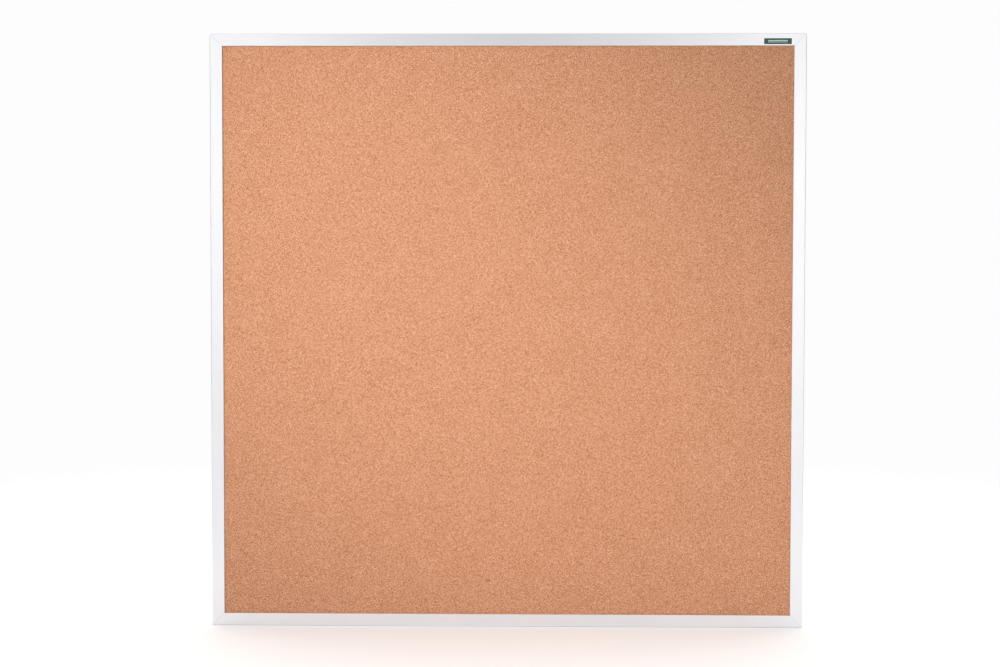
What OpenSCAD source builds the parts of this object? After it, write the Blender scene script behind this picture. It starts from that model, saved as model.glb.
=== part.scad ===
// Framed cork bulletin board: a cork and hardboard panel held in four mitred aluminium rails,
// with its concealed wall hardware in place.
// Millimetres. +Z is up, the cork faces -Y, and the wall is the plane y = 0.
// The origin is the middle of the board on the wall plane.

/* [Board] */
// Width of the board over its frame
board_w = 1219.2; // [1100:0.1:1830]
// Height of the board over its frame
board_h = 1219.2; // [1100:0.1:1830]

/* [Panel] */
// Thickness of the cork sheet
cork_t = 6.35; // [3:0.05:10]
// Thickness of the hardboard that backs the cork
hardboard_t = 6.35; // [3:0.05:10]
// Gap between the panel's edge and the rail's outer wall
panel_play = 1.6; // [0.5:0.1:4]

/* [Frame rail] */
// Width of the rail's face
face_w = 25.4; // [23:0.1:40]
// Thickness of the face
face_t = 1.5; // [1.2:0.1:2.5]
// Thickness of the outer wall
wall_t = 2; // [1.9:0.1:2.5]
// Thickness of the rear lip
lip_t = 1.9; // [1.9:0.1:3]
// Rounding of the board's four corners, seen from the front
corner_r = 5.5; // [3:0.5:6]
// Width of the hairline at each mitre
mitre_gap = 0.2; // [0.1:0.05:0.5]

/* [Nameplate] */
// Width of the nameplate
plate_w = 56; // [40:1:90]
// Height of the nameplate
plate_h = 11.8; // [8:0.1:12]
// Distance from the nameplate to the board's right-hand edge
plate_inset = 31; // [26:1:200]

/* [Wall hardware] */
// Distance between the two upper clips, and between the two lower brackets
clip_spacing = 812.8; // [400:0.1:860]
// Distance from the board's top or bottom edge to a wall screw
wall_screw_inset = 32; // [30:1:60]
// Diameter of the wall screw holes
wall_hole_d = 5.2; // [4:0.1:6.5]
// Thickness of the clips' and brackets' steel
sheet_t = 1.6; // [1.2:0.1:1.8]
// Width of a clip or bracket
clip_w = 40; // [25:1:80]

/* [Hidden] */

$fn = 48;
tiny = 0.01;

// Places across a rail are u, inwards from its outer edge, and v, forwards from the wall.
key_t = 4;                              // corner key
key_clearance = 0.1;                    // between the key and the channel, on each side
channel_h = key_t + 2 * key_clearance;  // channel for the keys and clips
rib_v = lip_t + channel_h;              // rear face of the rib that carries the panel
rib_t = 1.2;
rib_w = 14;
lip_w = 14;
hook_t = 1.1;                           // upturned edge of the rear lip
hook_h = 0.8;
panel_v = rib_v + rib_t;                // rear face of the panel
bead_h = 1.7;                           // bead behind the face that bears on the cork
bead_w = 2;
cork_front_v = panel_v + hardboard_t + cork_t;
frame_d = cork_front_v + bead_h + face_t;

outer_edge_r = 1.6;                     // rounding along the rail's outer front edge
inner_edge_r = 0.6;                     // rounding along its inner front edge
rear_edge_r = 0.5;                      // rounding along its outer rear edge

key_w = 10;
key_u = wall_t + 0.3;                   // outer edge of the corner key
key_leg = 65;                           // length of each leg, from the board's corner
key_screw_u = key_u + key_w / 2;
key_screw_s = [27, 52];                 // screws along a leg, from the board's corner
key_nose = 2;                           // chamfer at the end of a leg

screw_r = 1.45;                         // M3 core
thread_r = 1.5;                         // M3 hole
head_r = 2.8;
head_h = 1.5;                           // countersunk head
sink_play = 0.05;                       // between a head and its countersink
recess_w = 0.7;                         // cross recess in the head
recess_l = 3.2;
recess_h = 0.9;
corner_screw_l = key_t + lip_t - 0.1;
lock_screw_l = 19;
lock_screw_v = lip_t + hook_h + 0.35 + thread_r;

tongue_v = lip_t + hook_h + 0.5;        // wall side of the clip's tongue
tongue_top_u = wall_t + 2.5;
tongue_w = clip_w - 10;
tongue_corner_r = 3;
bend_r = 0.9;                           // outside of a bend in the sheet
inner_bend_r = 0.3;
clip_tail = 14;                         // steel beyond the wall screw
clip_corner_r = 4;
bracket_u = lip_w + 0.6;                // underside of the bracket's leg
bracket_leg = panel_v - 0.3;            // how far the leg reaches from the wall
bracket_nose_r = 3;

plate_base_t = 0.45;
plate_relief_t = 0.2;
plate_corner_r = 0.8;
plate_rim = 0.7;
plate_u = face_w - 2.7 - plate_h / 2;   // middle of the nameplate, across the rail
bar_w = plate_w - 2 * 8;                // two blank raised bars, one above the other
bar_h = 2.6;
bar_z = 0.9;                            // middle of the upper bar, above the nameplate's middle
low_bar_h = 0.8;
low_bar_z = -2.1;

// ---------- helpers ----------

// A bar of the rail's section, from u0 to u1 and v0 to v1.
module bar(u0, u1, v0, v1) {
    translate([u0, v0]) square([u1 - u0, v1 - v0]);
}

// What a rounding of radius r takes off a convex corner whose tip is at the origin.
module round_off(r) {
    difference() {
        translate([-tiny, -tiny]) square(r + tiny);
        translate([r, r]) circle(r);
    }
}

// A rectangle with round corners, centred.
module round_rect(w, h, r) {
    square([w - 2 * r, h], center = true);
    square([w, h - 2 * r], center = true);
    for (x = [-1, 1], y = [-1, 1]) translate([x * (w / 2 - r), y * (h / 2 - r)]) circle(r);
}

// Stands a 2D outline drawn in x and z at depth v0, reaching forwards by t.
module stand(v0, t) {
    translate([0, -v0, 0]) rotate([90, 0, 0]) linear_extrude(t) children();
}

// Turns a shape built along +Z to point forwards, away from the wall.
module forwards() {
    rotate([90, 0, 0]) children();
}

// Lays a section drawn in u and v along X, with its outer edge at z = 0.
module along_x(length) {
    rotate([180, 90, 0]) linear_extrude(length, center = true) children();
}

// Turns a top-side shape to another side of the board, half_h from the middle.
// A half turn, for the bottom, also swaps its left and right.
module on_side(angle, half_h) {
    rotate([0, angle, 0]) translate([0, 0, half_h]) children();
}

// Takes a top right-hand corner's shape to the corner at (sx, sz).
module at_corner(sx, sz) {
    translate([sx * board_w / 2, 0, sz * board_h / 2])
        mirror([sx < 0 ? 1 : 0, 0, 0]) mirror([0, 0, sz < 0 ? 1 : 0]) children();
}

// Countersunk screw along +Z, with its head's face at z = 0.
module flat_head_screw(length) {
    difference() {
        union() {
            cylinder(h = head_h, r1 = head_r, r2 = screw_r);
            translate([0, 0, head_h - tiny]) cylinder(h = length - head_h + tiny, r = screw_r);
        }
        for (a = [0, 90]) rotate(a)
            translate([-recess_l / 2, -recess_w / 2, -tiny]) cube([recess_l, recess_w, recess_h]);
    }
}

// Countersunk hole for that screw.
module flat_head_hole(depth) {
    translate([0, 0, -tiny])
        cylinder(h = head_h + tiny, r1 = head_r + sink_play + tiny, r2 = screw_r + sink_play);
    cylinder(h = depth, r = thread_r);
}

// ---------- frame rails ----------

module rail_section() {
    difference() {
        union() {
            bar(0, wall_t, 0, frame_d);
            bar(0, face_w, frame_d - face_t, frame_d);
            bar(face_w - bead_w, face_w, cork_front_v, frame_d);
            bar(0, rib_w, rib_v, rib_v + rib_t);
            bar(0, lip_w, 0, lip_t);
            bar(lip_w - hook_t, lip_w, 0, lip_t + hook_h);
        }
        round_off(rear_edge_r);
        translate([0, frame_d]) mirror([0, 1]) round_off(outer_edge_r);
        translate([face_w, frame_d]) rotate(180) round_off(inner_edge_r);
    }
}

// What rounding the board's corner takes away, about the rounding's centre, in the +X +Z quarter.
module corner_waste() {
    rotate([90, 0, 0]) rotate_extrude(angle = 90) difference() {
        translate([0, -1]) square([2 * corner_r, frame_d + 2]);
        difference() {
            square([corner_r, frame_d]);
            translate([corner_r, 0]) mirror([1, 0]) round_off(rear_edge_r);
            translate([corner_r, frame_d]) rotate(180) round_off(outer_edge_r);
        }
    }
}

// The part of the board's plan that a top rail of this length may fill.
module mitre_plan(length) {
    end = length / 2 - mitre_gap / sqrt(2);
    deep = face_w + 1;
    stand(-1, frame_d + 2)
        polygon([[-end - 1, 1], [end + 1, 1], [end - deep, -deep], [-end + deep, -deep]]);
}

module rail(length) {
    difference() {
        intersection() {
            along_x(length) rail_section();
            mitre_plan(length);
        }
        for (side = [0, 1]) mirror([side, 0, 0]) {
            translate([length / 2 - corner_r, 0, -corner_r]) corner_waste();
            for (s = key_screw_s)
                translate([length / 2 - s, 0, -key_screw_u]) forwards() flat_head_hole(lip_t + tiny);
        }
    }
}

module frame_rail_top() {
    color("gainsboro") on_side(0, board_h / 2) rail(board_w);
}

module frame_rail_bottom() {
    color("gainsboro") on_side(180, board_h / 2) difference() {
        rail(board_w);
        for (side = [-1, 1]) translate([side * clip_spacing / 2, -lock_screw_v, 0])
            rotate([180, 0, 0]) flat_head_hole(wall_t + tiny);
    }
}

module frame_rail_left() {
    color("gainsboro") on_side(-90, board_w / 2) rail(board_h);
}

module frame_rail_right() {
    color("gainsboro") on_side(90, board_w / 2) rail(board_h);
}

// ---------- corner keys ----------

// Outline of a corner key, in x and z from the board's corner.
module key_plan() {
    near = -key_u;
    far = near - key_w;
    tip = -key_leg;
    nose = tip + key_nose;
    polygon([
        [near, near], [nose, near], [tip, near - key_nose], [tip, far + key_nose], [nose, far],
        [far, far], [far, nose], [far + key_nose, tip], [near - key_nose, tip], [near, nose],
    ]);
}

module corner_key(sx, sz) {
    color("silver") at_corner(sx, sz) difference() {
        stand(lip_t + key_clearance, key_t) difference() {
            key_plan();
            translate([-key_u, -key_u]) rotate(180) round_off(key_nose);
        }
        for (s = key_screw_s) {
            translate([-s, 0, -key_screw_u]) forwards() cylinder(h = rib_v, r = thread_r);
            translate([-key_screw_u, 0, -s]) forwards() cylinder(h = rib_v, r = thread_r);
        }
    }
}

module corner_screws(sx, sz) {
    color("dimgray") at_corner(sx, sz) for (s = key_screw_s) {
        translate([-s, 0, -key_screw_u]) forwards() flat_head_screw(corner_screw_l);
        translate([-key_screw_u, 0, -s]) forwards() flat_head_screw(corner_screw_l);
    }
}

// ---------- panel ----------

module panel_plan() {
    inset = 2 * (wall_t + panel_play);
    square([board_w - inset, board_h - inset], center = true);
}

module cork_sheet() {
    color("burlywood") stand(panel_v + hardboard_t, cork_t) panel_plan();
}

module hardboard_backing() {
    color("saddlebrown") stand(panel_v, hardboard_t) panel_plan();
}

// ---------- nameplate ----------

module nameplate() {
    color("darkslategray")
        translate([board_w / 2 - plate_inset - plate_w / 2, 0, board_h / 2 - plate_u]) {
            stand(frame_d, plate_base_t) round_rect(plate_w, plate_h, plate_corner_r);
            stand(frame_d + plate_base_t - tiny, plate_relief_t + tiny) {
                difference() {
                    round_rect(plate_w, plate_h, plate_corner_r);
                    square([plate_w - 2 * plate_rim, plate_h - 2 * plate_rim], center = true);
                }
                translate([0, bar_z]) square([bar_w, bar_h], center = true);
                translate([0, low_bar_z]) square([bar_w, low_bar_h], center = true);
            }
        }
}

// ---------- wall hardware ----------

// Section of the upper clip: wall flange, shelf under the rail's lip, and tongue behind its hook.
module clip_section() {
    shelf_u = lip_w;
    difference() {
        union() {
            bar(shelf_u, wall_screw_inset + clip_tail, 0, sheet_t);
            bar(shelf_u, shelf_u + sheet_t, 0, tongue_v + sheet_t);
            bar(tongue_top_u, shelf_u + sheet_t, tongue_v, tongue_v + sheet_t);
            translate([shelf_u, tongue_v]) rotate(180) round_off(inner_bend_r);
            translate([shelf_u + sheet_t, sheet_t]) round_off(inner_bend_r);
        }
        translate([shelf_u, 0]) round_off(bend_r);
        translate([shelf_u + sheet_t, tongue_v + sheet_t]) rotate(180) round_off(bend_r);
    }
}

// Section of the lower bracket: wall flange, and the leg that takes the locking screw.
module bracket_section() {
    difference() {
        union() {
            bar(bracket_u, wall_screw_inset + clip_tail, 0, sheet_t);
            bar(bracket_u, bracket_u + sheet_t, 0, bracket_leg);
            translate([bracket_u + sheet_t, sheet_t]) round_off(inner_bend_r);
        }
        translate([bracket_u, 0]) round_off(bend_r);
    }
}

// Outline of a wall flange that starts at u0 and has round corners at its far end.
module flange_plan(u0) {
    tail_u = wall_screw_inset + clip_tail;
    translate([0, -(u0 + tail_u) / 2]) round_rect(clip_w, tail_u - u0, clip_corner_r);
    translate([-clip_w / 2, -u0 - clip_corner_r]) square([clip_w, clip_corner_r]);
}

// Outline of a clip seen from the front: its flange, and its narrower tongue with round corners.
module clip_plan() {
    flange_plan(lip_w);
    translate([0, -(tongue_top_u + lip_w) / 2 - tongue_corner_r])
        round_rect(tongue_w, lip_w - tongue_top_u + 2 * tongue_corner_r, tongue_corner_r);
}

module wall_hole() {
    translate([0, tiny, -wall_screw_inset]) forwards() cylinder(h = 3 * sheet_t, d = wall_hole_d);
}

module wall_clip(side) {
    color("lightsteelblue") translate([side * clip_spacing / 2, 0, board_h / 2]) difference() {
        intersection() {
            along_x(clip_w) clip_section();
            stand(-1, frame_d) clip_plan();
        }
        wall_hole();
    }
}

// Outline of a bracket's leg, in x and v: its front corners are round.
module leg_plan() {
    translate([0, bracket_leg / 2 - bracket_nose_r / 2])
        round_rect(clip_w, bracket_leg + bracket_nose_r, bracket_nose_r);
}

module lower_bracket(side) {
    color("lightsteelblue") on_side(180, board_h / 2)
        translate([-side * clip_spacing / 2, 0, 0]) difference() {
            intersection() {
                along_x(clip_w) bracket_section();
                stand(-1, frame_d) flange_plan(bracket_u);
                translate([0, 0, -board_h / 2]) linear_extrude(board_h / 2)
                    mirror([0, 1]) leg_plan();
            }
            wall_hole();
            translate([0, -lock_screw_v, -bracket_u - 2 * sheet_t])
                cylinder(h = 3 * sheet_t, r = thread_r);
        }
}

module locking_screw(side) {
    color("dimgray") translate([side * clip_spacing / 2, -lock_screw_v, -board_h / 2])
        flat_head_screw(lock_screw_l);
}

frame_rail_top();
frame_rail_bottom();
frame_rail_left();
frame_rail_right();
corner_key(-1, 1);  // corner_key_top_left
corner_key(1, 1);  // corner_key_top_right
corner_key(-1, -1);  // corner_key_bottom_left
corner_key(1, -1);  // corner_key_bottom_right
corner_screws(-1, 1);  // corner_screws_top_left
corner_screws(1, 1);  // corner_screws_top_right
corner_screws(-1, -1);  // corner_screws_bottom_left
corner_screws(1, -1);  // corner_screws_bottom_right
cork_sheet();
hardboard_backing();
nameplate();
wall_clip(-1);  // wall_clip_left
wall_clip(1);  // wall_clip_right
lower_bracket(-1);  // lower_bracket_left
lower_bracket(1);  // lower_bracket_right
locking_screw(-1);  // locking_screw_left
locking_screw(1);  // locking_screw_right
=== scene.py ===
"""Cork bulletin board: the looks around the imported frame.

Metres, +Z up. The cork faces -Y, and the wall side is y = 0.
"""

import math

import bmesh
import bpy
from mathutils import Matrix, Vector, noise


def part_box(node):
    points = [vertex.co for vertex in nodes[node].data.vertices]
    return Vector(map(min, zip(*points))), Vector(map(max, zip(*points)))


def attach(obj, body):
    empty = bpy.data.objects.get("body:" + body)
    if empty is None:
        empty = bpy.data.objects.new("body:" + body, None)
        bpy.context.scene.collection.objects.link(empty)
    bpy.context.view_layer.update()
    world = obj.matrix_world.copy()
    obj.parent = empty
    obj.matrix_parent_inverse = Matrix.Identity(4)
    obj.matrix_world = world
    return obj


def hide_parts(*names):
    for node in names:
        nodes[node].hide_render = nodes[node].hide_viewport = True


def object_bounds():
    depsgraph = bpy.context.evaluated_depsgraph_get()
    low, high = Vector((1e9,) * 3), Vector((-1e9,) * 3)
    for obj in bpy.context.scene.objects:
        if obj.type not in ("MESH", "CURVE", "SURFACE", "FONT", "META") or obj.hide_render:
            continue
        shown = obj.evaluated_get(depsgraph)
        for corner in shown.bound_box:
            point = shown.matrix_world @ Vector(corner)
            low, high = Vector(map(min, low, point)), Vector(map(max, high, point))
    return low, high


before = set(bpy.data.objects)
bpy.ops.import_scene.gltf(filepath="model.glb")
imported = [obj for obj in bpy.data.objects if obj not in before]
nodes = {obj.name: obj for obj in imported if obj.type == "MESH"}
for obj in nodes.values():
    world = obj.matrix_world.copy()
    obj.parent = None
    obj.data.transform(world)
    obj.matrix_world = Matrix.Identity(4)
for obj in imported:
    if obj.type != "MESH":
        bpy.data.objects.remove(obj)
cad_low, cad_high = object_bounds()

MM = 0.001

# ---------- places and sizes read from the frame ----------

RAIL_LOW, RAIL_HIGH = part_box("frame_rail_top")
BOARD_HALF = RAIL_HIGH.z
RAIL_W = RAIL_HIGH.z - RAIL_LOW.z
FLOOR_Z = cad_low.z


# ---------- small helpers for shader nodes ----------


class Graph:
    """A material's node tree, with short calls for the nodes used here."""

    def __init__(self, name):
        self.material = bpy.data.materials.new(name)
        self.material.use_nodes = True
        self.tree = self.material.node_tree
        self.tree.nodes.clear()
        self.out = self.add("ShaderNodeOutputMaterial")
        self.shader = self.add("ShaderNodeBsdfPrincipled")
        self.link(self.shader.outputs["BSDF"], self.out.inputs["Surface"])

    def add(self, kind, **settings):
        node = self.tree.nodes.new(kind)
        for key, value in settings.items():
            setattr(node, key, value)
        return node

    def link(self, source, target):
        self.tree.links.new(source, target)

    def put(self, value, target):
        """Sets a socket to a constant, or links another socket to it."""
        if isinstance(value, bpy.types.NodeSocket):
            self.link(value, target)
        else:
            target.default_value = value

    def place(self, scale=1):
        """Object coordinates in millimetres, divided by one scale or by a scale for each axis."""
        scales = (scale,) * 3 if isinstance(scale, (int, float)) else scale
        coords = self.add("ShaderNodeTexCoord")
        mapping = self.add("ShaderNodeMapping")
        mapping.inputs["Scale"].default_value = [1 / (MM * s) for s in scales]
        self.link(coords.outputs["Object"], mapping.inputs["Vector"])
        return mapping.outputs["Vector"]

    def noise(self, where, detail=2.0, roughness=0.5, distortion=0.0):
        node = self.add("ShaderNodeTexNoise")
        self.link(where, node.inputs["Vector"])
        node.inputs["Scale"].default_value = 1
        node.inputs["Detail"].default_value = detail
        node.inputs["Roughness"].default_value = roughness
        node.inputs["Distortion"].default_value = distortion
        return node.outputs["Fac"]

    def cells(self, where):
        node = self.add("ShaderNodeTexVoronoi")
        self.link(where, node.inputs["Vector"])
        node.inputs["Scale"].default_value = 1
        return node.outputs

    def math(self, operation, a, b=0.0, c=0.0):
        node = self.add("ShaderNodeMath", operation=operation)
        for value, socket in zip((a, b, c), node.inputs):
            self.put(value, socket)
        return node.outputs[0]

    def span(self, value, low, high, to_low=0.0, to_high=1.0, smooth=True):
        """Maps low..high to to_low..to_high, held at the ends."""
        node = self.add("ShaderNodeMapRange")
        if smooth:
            node.interpolation_type = "SMOOTHSTEP"
        for number, socket in zip((value, low, high, to_low, to_high), node.inputs):
            self.put(number, socket)
        return node.outputs[0]

    def ramp(self, value, stops):
        """A colour for a value of 0 to 1, from (value, colour) stops."""
        node = self.add("ShaderNodeValToRGB")
        marks = node.color_ramp.elements
        while len(marks) < len(stops):
            marks.new(0.5)
        for mark, (at, colour) in zip(marks, stops):
            mark.position = at
            mark.color = (*colour, 1)
        self.link(value, node.inputs["Fac"])
        return node.outputs["Color"]

    def mix(self, amount, a, b):
        node = self.add("ShaderNodeMix", data_type="RGBA")
        colours = [s for s in node.inputs if s.type == "RGBA"]
        self.put(amount, node.inputs["Factor"])
        for value, socket in zip((a, b), colours):
            self.put((*value, 1) if isinstance(value, tuple) else value, socket)
        return next(s for s in node.outputs if s.type == "RGBA")

    def bump(self, height, distance, strength):
        node = self.add("ShaderNodeBump")
        node.inputs["Strength"].default_value = strength
        node.inputs["Distance"].default_value = distance
        self.link(height, node.inputs["Height"])
        return node.outputs["Normal"]

    def finish(self, **sockets):
        """Sets the shader's sockets, named with _ for a space."""
        for key, value in sockets.items():
            socket = self.shader.inputs[key.replace("_", " ")]
            if isinstance(value, tuple) and socket.type == "RGBA":
                value = (*value, 1)
            self.put(value, socket)
        return self.material


# ---------- materials ----------

CORK_TONES = [
    (0.00, (0.120, 0.040, 0.013)),
    (0.10, (0.260, 0.098, 0.039)),
    (0.30, (0.455, 0.198, 0.093)),
    (0.60, (0.575, 0.274, 0.151)),
    (0.85, (0.665, 0.350, 0.218)),
    (1.00, (0.770, 0.455, 0.324)),
]
CORK_SEAM = (0.30, 0.125, 0.060)
CORK_FLECK = (0.115, 0.045, 0.022)

# Granules and the flecks' pitch are in millimetres, and a fleck's largest radius is a share of the pitch.
# The two ABOVE values are thresholds on a cell's own random number, from 0 to 1.
COARSE_GRANULE = 1.5
FINE_GRANULE = 0.85
COARSE_ABOVE = 0.70
FLECK_PITCH = 3.4
FLECK_SIZE = 0.26
FLECKS_ABOVE = 0.72


def cork_material():
    """Fine agglomerated cork: small pressed granules, each its own tan, with dark flecks and pits."""
    g = Graph("cork")
    warp = g.add("ShaderNodeTexNoise")
    g.link(g.place(2.2), warp.inputs["Vector"])
    warp.inputs["Scale"].default_value = 1
    warp.inputs["Detail"].default_value = 2
    nudge = g.add("ShaderNodeVectorMath", operation="MULTIPLY_ADD")
    g.link(warp.outputs["Color"], nudge.inputs[0])
    nudge.inputs[1].default_value = (0.9, 0.9, 0.9)
    g.link(g.place(), nudge.inputs[2])
    bent = nudge.outputs[0]

    def granules(size):
        scaled = g.add("ShaderNodeVectorMath", operation="SCALE")
        g.link(bent, scaled.inputs[0])
        scaled.inputs["Scale"].default_value = 1 / size
        cell = g.cells(scaled.outputs[0])
        parts = g.add("ShaderNodeSeparateColor")
        g.link(cell["Color"], parts.inputs[0])
        return parts.outputs[0], cell["Distance"], parts.outputs[1]

    coarse, coarse_far, coarse_pick = granules(COARSE_GRANULE)
    fine, fine_far, _ = granules(FINE_GRANULE)
    which = g.math("GREATER_THAN", coarse_pick, COARSE_ABOVE)
    picked = g.add("ShaderNodeMix", data_type="FLOAT")
    g.link(which, picked.inputs[0])
    g.link(fine, picked.inputs[2])
    g.link(coarse, picked.inputs[3])
    tone = picked.outputs[0]
    grain = g.noise(g.place(0.45), detail=3, roughness=0.6)
    cloud = g.noise(g.place(60), detail=2)
    tone = g.math("MULTIPLY_ADD", g.math("SUBTRACT", grain, 0.5), 0.45, tone)
    tone = g.math("MULTIPLY_ADD", g.math("SUBTRACT", cloud, 0.5), 0.10, tone)
    tone = g.span(tone, 0.0, 1.0, 0.08, 0.98, smooth=False)
    colour = g.ramp(tone, CORK_TONES)
    seam = g.span(fine_far, 0.42, 0.78)
    colour = g.mix(g.math("MULTIPLY", seam, 0.42), colour, CORK_SEAM)
    fleck_spot = g.cells(g.place(FLECK_PITCH))
    fleck_parts = g.add("ShaderNodeSeparateColor")
    g.link(fleck_spot["Color"], fleck_parts.inputs[0])
    fleck_size = g.math("MULTIPLY", fleck_parts.outputs[2], FLECK_SIZE)
    fleck = g.math("LESS_THAN", fleck_spot["Distance"], fleck_size)
    chosen = g.math("GREATER_THAN", fleck_parts.outputs[0], FLECKS_ABOVE)
    fleck = g.math("MULTIPLY", fleck, chosen)
    colour = g.mix(g.math("MULTIPLY", fleck, 0.6), colour, CORK_FLECK)
    height = g.math("MULTIPLY_ADD", coarse_far, -0.35, g.math("MULTIPLY", fine_far, -0.45))
    height = g.math("MULTIPLY_ADD", grain, 0.5, height)
    height = g.math("MULTIPLY_ADD", fleck, -0.35, height)
    rough = g.span(tone, 0, 1, 0.95, 0.80, smooth=False)
    return g.finish(
        Base_Color=colour,
        Roughness=rough,
        Specular_IOR_Level=0.25,
        Normal=g.bump(height, distance=0.16 * MM, strength=0.75),
    )


def anodised_material(name, along):
    """Satin clear-anodised extrusion: faint die lines along the rail and a fine etched grain."""
    g = Graph(name)
    across = [0.35, 0.35, 0.35]
    across["xyz".index(along)] = 260
    lines = g.noise(g.place(across), detail=3, roughness=0.65)
    etch = g.noise(g.place(0.22), detail=2)
    cloud = g.noise(g.place(90), detail=2)
    tone = g.math("MULTIPLY_ADD", g.math("SUBTRACT", lines, 0.5), 0.30, 0.5)
    tone = g.math("MULTIPLY_ADD", g.math("SUBTRACT", cloud, 0.5), 0.20, tone)
    colour = g.ramp(tone, [(0.30, (0.800, 0.800, 0.825)), (0.70, (0.880, 0.880, 0.900))])
    rough = g.math("MULTIPLY_ADD", g.math("SUBTRACT", lines, 0.5), 0.16, 0.40)
    rough = g.math("MULTIPLY_ADD", g.math("SUBTRACT", etch, 0.5), 0.10, rough)
    height = g.math("MULTIPLY_ADD", etch, 0.5, lines)
    return g.finish(
        Base_Color=colour,
        Metallic=0.85,
        Roughness=rough,
        Normal=g.bump(height, distance=0.010 * MM, strength=0.5),
    )


SCREEN_PITCH = 1.9
SCREEN_GROOVE = (0.060, 0.028, 0.013)


def hardboard_material():
    """Tempered hardboard: dark pressed fibre, with the press screen's weave on the back."""
    g = Graph("hardboard")
    fibre = g.noise(g.place(1.1), detail=5, roughness=0.7, distortion=1.2)
    strand = g.noise(g.place((9, 9, 0.6)), detail=3, roughness=0.6, distortion=0.6)
    cloud = g.noise(g.place(120), detail=3)
    tone = g.math("MULTIPLY_ADD", g.math("SUBTRACT", strand, 0.5), 0.5, fibre)
    tone = g.math("MULTIPLY_ADD", g.math("SUBTRACT", cloud, 0.5), 0.25, tone)
    colour = g.ramp(
        tone,
        [
            (0.15, (0.085, 0.040, 0.018)),
            (0.45, (0.185, 0.098, 0.048)),
            (0.62, (0.235, 0.130, 0.066)),
            (0.90, (0.360, 0.215, 0.115)),
        ],
    )
    parts = g.add("ShaderNodeSeparateXYZ")
    g.link(g.place(SCREEN_PITCH), parts.inputs[0])
    turn = 2 * math.pi
    warp_wire = g.math("SINE", g.math("MULTIPLY", parts.outputs["X"], turn))
    weft_wire = g.math("SINE", g.math("MULTIPLY", parts.outputs["Z"], turn))
    weave = g.math("MAXIMUM", warp_wire, weft_wire)
    colour = g.mix(g.span(weave, 0.2, 1, 0, 0.30), colour, SCREEN_GROOVE)
    height = g.math("MULTIPLY_ADD", weave, -0.5, g.math("MULTIPLY", fibre, 0.5))
    return g.finish(
        Base_Color=colour,
        Roughness=g.span(fibre, 0.2, 0.8, 0.72, 0.50),
        Specular_IOR_Level=0.4,
        Normal=g.bump(height, distance=0.12 * MM, strength=0.6),
    )


def die_cast_material():
    """Zinc die casting: dull grey, slightly mottled, with a fine as-cast skin."""
    g = Graph("zinc_die_casting")
    skin = g.noise(g.place(0.5), detail=4, roughness=0.6)
    flow = g.noise(g.place(14), detail=3, distortion=1.5)
    tone = g.math("MULTIPLY_ADD", g.math("SUBTRACT", skin, 0.5), 0.5, flow)
    colour = g.ramp(tone, [(0.3, (0.40, 0.41, 0.42)), (0.7, (0.60, 0.61, 0.62))])
    return g.finish(
        Base_Color=colour,
        Metallic=1.0,
        Roughness=g.span(tone, 0.2, 0.8, 0.58, 0.42),
        Normal=g.bump(skin, distance=0.03 * MM, strength=0.5),
    )


def zinc_plate_material(name, along):
    """Bright zinc plate on rolled steel: faint rolling lines and the plating's cool mottle."""
    g = Graph(name)
    across = [0.3, 0.3, 0.3]
    across["xyz".index(along)] = 30
    lines = g.noise(g.place(across), detail=3)
    mottle = g.noise(g.place(6), detail=3, distortion=1.0)
    colour = g.ramp(
        mottle,
        [(0.30, (0.60, 0.62, 0.68)), (0.50, (0.68, 0.70, 0.73)), (0.72, (0.73, 0.72, 0.66))],
    )
    rough = g.math("MULTIPLY_ADD", lines, 0.18, 0.20)
    return g.finish(
        Base_Color=colour,
        Metallic=1.0,
        Roughness=rough,
        Normal=g.bump(lines, distance=0.012 * MM, strength=0.5),
    )


def plate_material():
    """The nameplate's dark green enamel, with a slight orange-peel surface."""
    g = Graph("nameplate_green")
    peel = g.noise(g.place(0.8), detail=2)
    cloud = g.noise(g.place(9), detail=2)
    colour = g.ramp(cloud, [(0.3, (0.012, 0.052, 0.038)), (0.7, (0.020, 0.078, 0.056))])
    return g.finish(
        Base_Color=colour,
        Roughness=g.span(peel, 0.2, 0.8, 0.30, 0.42),
        Normal=g.bump(peel, distance=0.02 * MM, strength=0.4),
    )


def plate_mark_material():
    """The pale enamel on the nameplate's raised bars."""
    g = Graph("nameplate_pale")
    wear = g.noise(g.place(0.5), detail=3)
    colour = g.ramp(wear, [(0.3, (0.34, 0.52, 0.44)), (0.7, (0.50, 0.66, 0.58))])
    return g.finish(Base_Color=colour, Roughness=g.span(wear, 0.2, 0.8, 0.5, 0.36))


def dress(node_name, material):
    mesh = nodes[node_name].data
    mesh.materials.clear()
    mesh.materials.append(material)


ANODISED_X = anodised_material("anodised_along_x", "x")
ANODISED_Z = anodised_material("anodised_along_z", "z")
DIE_CAST = die_cast_material()
ZINC_PLATE = zinc_plate_material("zinc_plated_strip", "x")
SCREW_STEEL = zinc_plate_material("zinc_plated_screw", "y")

for side in ("top", "bottom"):
    dress(f"frame_rail_{side}", ANODISED_X)
for side in ("left", "right"):
    dress(f"frame_rail_{side}", ANODISED_Z)
    dress(f"wall_clip_{side}", ZINC_PLATE)
    dress(f"lower_bracket_{side}", ZINC_PLATE)
    dress(f"locking_screw_{side}", SCREW_STEEL)
    for level in ("top", "bottom"):
        dress(f"corner_key_{level}_{side}", DIE_CAST)
        dress(f"corner_screws_{level}_{side}", SCREW_STEEL)
dress("hardboard_backing", hardboard_material())


# ---------- pieces that stand for CAD nodes ----------


SHARP_ANGLE = 35


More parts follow.
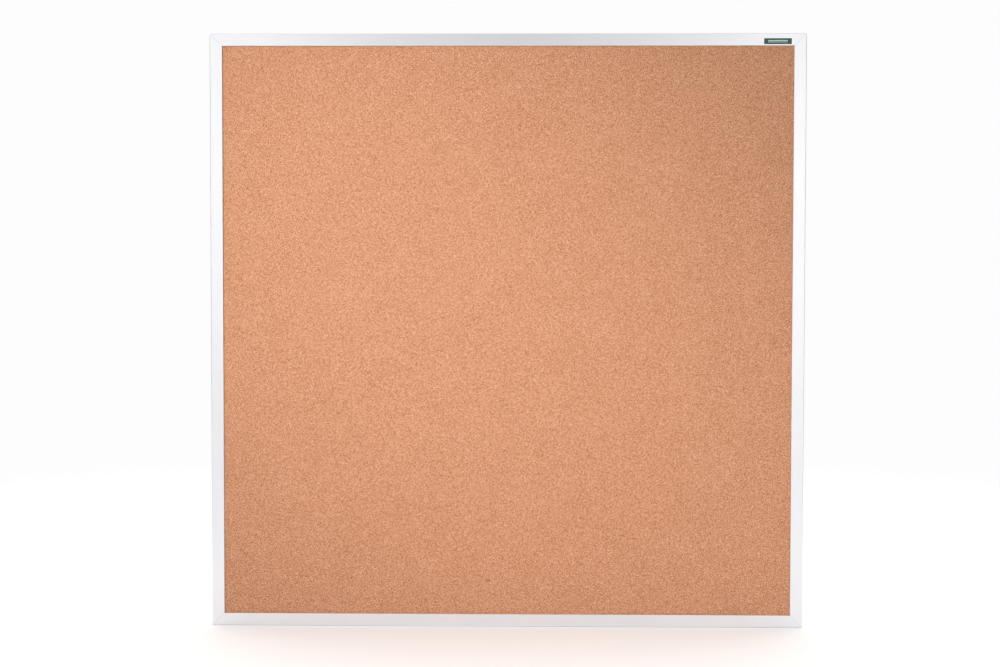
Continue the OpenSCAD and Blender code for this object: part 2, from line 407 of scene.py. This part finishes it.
def make_piece(name, bm, materials, node_name):
    """Turns a bmesh into a piece that stands for a CAD node."""
    bmesh.ops.recalc_face_normals(bm, faces=bm.faces)
    mesh = bpy.data.meshes.new(name)
    bm.to_mesh(mesh)
    bm.free()
    for material in materials:
        mesh.materials.append(material)
    for polygon in mesh.polygons:
        polygon.use_smooth = True
    mesh.set_sharp_from_angle(angle=math.radians(SHARP_ANGLE))
    piece = bpy.data.objects.new(name, mesh)
    bpy.context.scene.collection.objects.link(piece)
    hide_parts(node_name)
    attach(piece, "root")


CORK_CELLS = 296
CORK_RELIEF = 0.16 * MM
FINE_SWELL = 7 * MM
BROAD_SWELL = 45 * MM
BROAD_PLANE = 50 * MM  # the broad swell is read at another depth of the noise than the fine one


def cork_relief(x, z):
    """How far the rolled cork lies below its highest grains at a point, in metres."""
    fine = noise.noise(Vector((x, 0, z)) / FINE_SWELL)
    broad = noise.noise(Vector((x, BROAD_PLANE, z)) / BROAD_SWELL)
    level = 0.5 + 0.45 * fine + 0.35 * broad
    return CORK_RELIEF * min(max(level, 0), 1)


def make_cork():
    """The cork sheet: an uneven front inside the frame's opening, flat where the beads press on it."""
    low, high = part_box("cork_sheet")
    opening = BOARD_HALF - RAIL_W
    bm = bmesh.new()

    def place(i, j):
        x = low.x + (high.x - low.x) * i / CORK_CELLS
        z = low.z + (high.z - low.z) * j / CORK_CELLS
        bare = abs(x) < opening and abs(z) < opening
        return (x, low.y + (cork_relief(x, z) if bare else 0), z)

    steps = range(CORK_CELLS + 1)
    front = [[bm.verts.new(place(i, j)) for j in steps] for i in steps]
    for i in range(CORK_CELLS):
        for j in range(CORK_CELLS):
            bm.faces.new((front[i][j], front[i + 1][j], front[i + 1][j + 1], front[i][j + 1]))
    end = CORK_CELLS
    rim = [front[i][0] for i in range(end)] + [front[end][j] for j in range(end)]
    rim += [front[i][end] for i in range(end, 0, -1)] + [front[0][j] for j in range(end, 0, -1)]
    back = [bm.verts.new((v.co.x, high.y, v.co.z)) for v in rim]
    for k, v in enumerate(rim):
        after = (k + 1) % len(rim)
        bm.faces.new((v, back[k], back[after], rim[after]))
    bm.faces.new(back)
    make_piece("cork_panel", bm, [cork_material()], "cork_sheet")


CORNER_STEPS = 8
LEAST_CORNER = 0.12 * MM


def ring(bm, centre, width, height, corner, y):
    """A ring of points round a rectangle with round corners, facing the front."""
    points = []
    for quarter in range(4):
        sx = (1, -1, -1, 1)[quarter]
        sz = (1, 1, -1, -1)[quarter]
        for step in range(CORNER_STEPS + 1):
            angle = math.radians(90) * (quarter + step / CORNER_STEPS)
            x = sx * (width / 2 - corner) + corner * math.cos(angle)
            z = sz * (height / 2 - corner) + corner * math.sin(angle)
            points.append(bm.verts.new((centre[0] + x, y, centre[1] + z)))
    return points


def turned_slab(bm, centre, width, height, corner, profile, material_index):
    """A closed slab whose edge follows a profile of (inset, y) steps, from its back to its front."""
    rings = []
    for inset, y in profile:
        radius = max(corner - inset, LEAST_CORNER)
        rings.append(ring(bm, centre, width - 2 * inset, height - 2 * inset, radius, y))
    count = len(rings[0])
    for lower, upper in zip(rings, rings[1:]):
        for k in range(count):
            after = (k + 1) % count
            face = bm.faces.new((lower[k], lower[after], upper[after], upper[k]))
            face.material_index = material_index
    for cap in (rings[0], rings[-1]):
        bm.faces.new(cap).material_index = material_index


def eased(y, ease):
    """The three steps of a rounded front edge that ends at depth y."""
    lean = ease * (1 - math.sqrt(0.5))
    return [(0, y + ease), (lean, y + lean), (ease, y)]


PLATE_CORNER = 0.8 * MM
PLATE_RIM = 0.7 * MM
PLATE_EASE = 0.14 * MM
PLATE_RELIEF = 0.20 * MM
BAR_MARGIN = 8 * MM
BAR_CORNER = 0.3 * MM
BAR_EASE = 0.1 * MM
BARS = ((0.9 * MM, 2.6 * MM), (-2.1 * MM, 0.8 * MM))  # how far above the middle, and how high


def make_nameplate():
    """The nameplate: an enamelled plate with a rolled rim and two blank raised bars."""
    low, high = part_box("nameplate")
    width = high.x - low.x
    height = high.z - low.z
    centre = ((low.x + high.x) / 2, (low.z + high.z) / 2)
    top = low.y
    field = top + PLATE_RELIEF
    bm = bmesh.new()
    profile = [(0, high.y)] + eased(top, PLATE_EASE)
    profile += [
        (PLATE_RIM - PLATE_EASE, top),
        (PLATE_RIM, top + PLATE_EASE / 2),
        (PLATE_RIM + PLATE_EASE / 2, field),
    ]
    turned_slab(bm, centre, width, height, PLATE_CORNER, profile, 0)
    bar_w = width - 2 * BAR_MARGIN
    for offset, bar_h in BARS:
        middle = (centre[0], centre[1] + offset)
        profile = [(0, field + BAR_EASE)] + eased(top, BAR_EASE)
        turned_slab(bm, middle, bar_w, bar_h, BAR_CORNER, profile, 1)
    enamels = [plate_material(), plate_mark_material()]
    make_piece("name_plate", bm, enamels, "nameplate")


make_cork()
make_nameplate()


# ---------- stage ----------


FLOOR_HALF = 12
FLOOR_TONE = (0.86, 0.86, 0.86, 1)
FLOOR_FADE = (1.0, 3.4)  # how far out it starts to fade, and where it has gone


def floor_material():
    """Pale matt floor that fades into the backdrop with distance from the board."""
    g = Graph("floor")
    g.tree.nodes.remove(g.shader)
    diffuse = g.add("ShaderNodeBsdfDiffuse")
    diffuse.inputs["Color"].default_value = FLOOR_TONE
    clear = g.add("ShaderNodeBsdfTransparent")
    blend = g.add("ShaderNodeMixShader")
    coords = g.add("ShaderNodeTexCoord")
    reach = g.add("ShaderNodeVectorMath", operation="LENGTH")
    g.link(coords.outputs["Object"], reach.inputs[0])
    g.link(g.span(reach.outputs["Value"], *FLOOR_FADE), blend.inputs["Fac"])
    g.link(diffuse.outputs[0], blend.inputs[1])
    g.link(clear.outputs[0], blend.inputs[2])
    g.link(blend.outputs[0], g.out.inputs["Surface"])
    return g.material


def make_floor():
    half = FLOOR_HALF
    mesh = bpy.data.meshes.new("floor")
    corners = [(-half, -half, 0), (half, -half, 0), (half, half, 0), (-half, half, 0)]
    mesh.from_pydata(corners, [], [(0, 1, 2, 3)])
    mesh.materials.append(floor_material())
    floor = bpy.data.objects.new("floor", mesh)
    floor.location.z = FLOOR_Z
    bpy.context.scene.collection.objects.link(floor)
    return floor


# Strengths, and how far along +Y or +Z a direction points where each fade starts and ends.
WORLD_FRONT = 0.42
WORLD_BACK = 0.62
WORLD_TOP = 0.60
BACKDROP = 0.98
FRONT_TO_BACK = (0.0, 0.7)
SIDES_TO_TOP = (0.35, 0.95)


def make_world():
    """Studio light from all round, brighter overhead and behind.

    The camera doesn't see it: it sees an even pale backdrop instead.
    """
    world = bpy.data.worlds.new("studio")
    bpy.context.scene.world = world
    world.use_nodes = True
    tree = world.node_tree
    tree.nodes.clear()
    coords = tree.nodes.new("ShaderNodeTexCoord")
    parts = tree.nodes.new("ShaderNodeSeparateXYZ")
    tree.links.new(coords.outputs["Generated"], parts.inputs[0])

    def fade(axis, ends, at_low, at_high):
        node = tree.nodes.new("ShaderNodeMapRange")
        node.interpolation_type = "SMOOTHSTEP"
        tree.links.new(parts.outputs[axis], node.inputs[0])
        for number, socket in zip((*ends, at_low, at_high), list(node.inputs)[1:]):
            socket.default_value = number
        return node.outputs[0]

    total = tree.nodes.new("ShaderNodeMath")
    tree.links.new(fade("Y", FRONT_TO_BACK, WORLD_FRONT, WORLD_BACK), total.inputs[0])
    tree.links.new(fade("Z", SIDES_TO_TOP, 0, WORLD_TOP), total.inputs[1])
    rays = tree.nodes.new("ShaderNodeLightPath")
    shown = tree.nodes.new("ShaderNodeMix")
    tree.links.new(rays.outputs["Is Camera Ray"], shown.inputs[0])
    tree.links.new(total.outputs[0], shown.inputs[2])
    shown.inputs[3].default_value = BACKDROP
    background = tree.nodes.new("ShaderNodeBackground")
    background.inputs["Color"].default_value = (1, 1, 1, 1)
    out = tree.nodes.new("ShaderNodeOutputWorld")
    tree.links.new(shown.outputs[0], background.inputs["Strength"])
    tree.links.new(background.outputs[0], out.inputs["Surface"])


def aim(thing, target):
    direction = Vector(target) - thing.location
    thing.rotation_euler = direction.to_track_quat("-Z", "Y").to_euler()


SPOT_SIZE = 0.5


def add_spot(name, at, target, half_angle, power):
    light = bpy.data.lights.new(name, "SPOT")
    light.energy = power
    light.spot_size = math.radians(2 * half_angle)
    light.spot_blend = 1
    light.shadow_soft_size = SPOT_SIZE
    lamp = bpy.data.objects.new(name, light)
    lamp.location = at
    aim(lamp, target)
    bpy.context.scene.collection.objects.link(lamp)
    lamp.visible_camera = False
    lamp.visible_glossy = False
    return lamp


def add_softbox(name, at, target, width, height, radiance, shines_on):
    """An area light that only makes reflections, "glossy", or only lights matt surfaces, "diffuse"."""
    light = bpy.data.lights.new(name, "AREA")
    light.shape = "RECTANGLE"
    light.size = width
    light.size_y = height
    light.energy = radiance * math.pi * width * height
    lamp = bpy.data.objects.new(name, light)
    lamp.location = at
    aim(lamp, target)
    bpy.context.scene.collection.objects.link(lamp)
    lamp.visible_camera = False
    lamp.visible_diffuse = shines_on == "diffuse"
    lamp.visible_glossy = shines_on == "glossy"
    return lamp


def limit_lamps(floor, state, lamps):
    """Lets lamps light only the floor, INCLUDE, or everything but the floor, EXCLUDE."""
    group = bpy.data.collections.new("floor_" + state.lower())
    group.objects.link(floor)
    group.collection_objects[0].light_linking.link_state = state
    for lamp in lamps:
        lamp.light_linking.receiver_collection = group


def make_lights(floor):
    """Two spots shape the cork's tone, two strips shine in the metal, and one light is for the floor."""
    key = add_spot("key", (-1.8, -3.0, 1.376), (-0.179, 0, 0.196), half_angle=17.8, power=491)
    fill = add_spot("fill", (0.97, -3.0, -0.3), (0.485, 0, -0.55), half_angle=26.5, power=74)
    overhead = {"width": 5.0, "height": 5.0, "shines_on": "diffuse"}
    glow = add_softbox("floor_glow", (0, 0.2, 3.0), (0, 0.2, 0), radiance=1.75, **overhead)
    limit_lamps(floor, "EXCLUDE", [key, fill])
    limit_lamps(floor, "INCLUDE", [glow])
    strip = {"width": 0.5, "height": 2.2, "shines_on": "glossy"}
    add_softbox("left_strip", (-1.35, -3.2, 0.7), (-0.6, 0, 0.2), radiance=3.05, **strip)
    add_softbox("right_strip", (1.35, -3.2, 0.6), (0.6, 0, 0.0), radiance=3.42, **strip)


# ---------- camera ----------

# Angles in degrees, lens and sensor in millimetres.
CAMERA_LENS = 50
CAMERA_SENSOR = 36
CAMERA_AZIMUTH = 0.81
CAMERA_ELEVATION = 1.79
CAMERA_ROLL = 0.09
CAMERA_DISTANCE = 2.876
CAMERA_AIM = Vector((-0.0145, 0, -0.0042))


def make_camera():
    azimuth = math.radians(CAMERA_AZIMUTH)
    elevation = math.radians(CAMERA_ELEVATION)
    back = Vector(
        (
            math.sin(azimuth) * math.cos(elevation),
            -math.cos(azimuth) * math.cos(elevation),
            math.sin(elevation),
        )
    )
    data = bpy.data.cameras.new("camera")
    data.lens = CAMERA_LENS
    data.sensor_width = CAMERA_SENSOR
    camera = bpy.data.objects.new("camera", data)
    turn = back.to_track_quat("Z", "Y").to_matrix().to_4x4()
    roll = Matrix.Rotation(math.radians(CAMERA_ROLL), 4, "Z")
    camera.matrix_world = Matrix.Translation(CAMERA_AIM + back * CAMERA_DISTANCE) @ turn @ roll
    bpy.context.scene.collection.objects.link(camera)
    bpy.context.scene.camera = camera


floor = make_floor()
make_world()
make_lights(floor)
make_camera()
bpy.context.scene.view_settings.view_transform = "Standard"
bpy.context.scene.view_settings.look = "None"
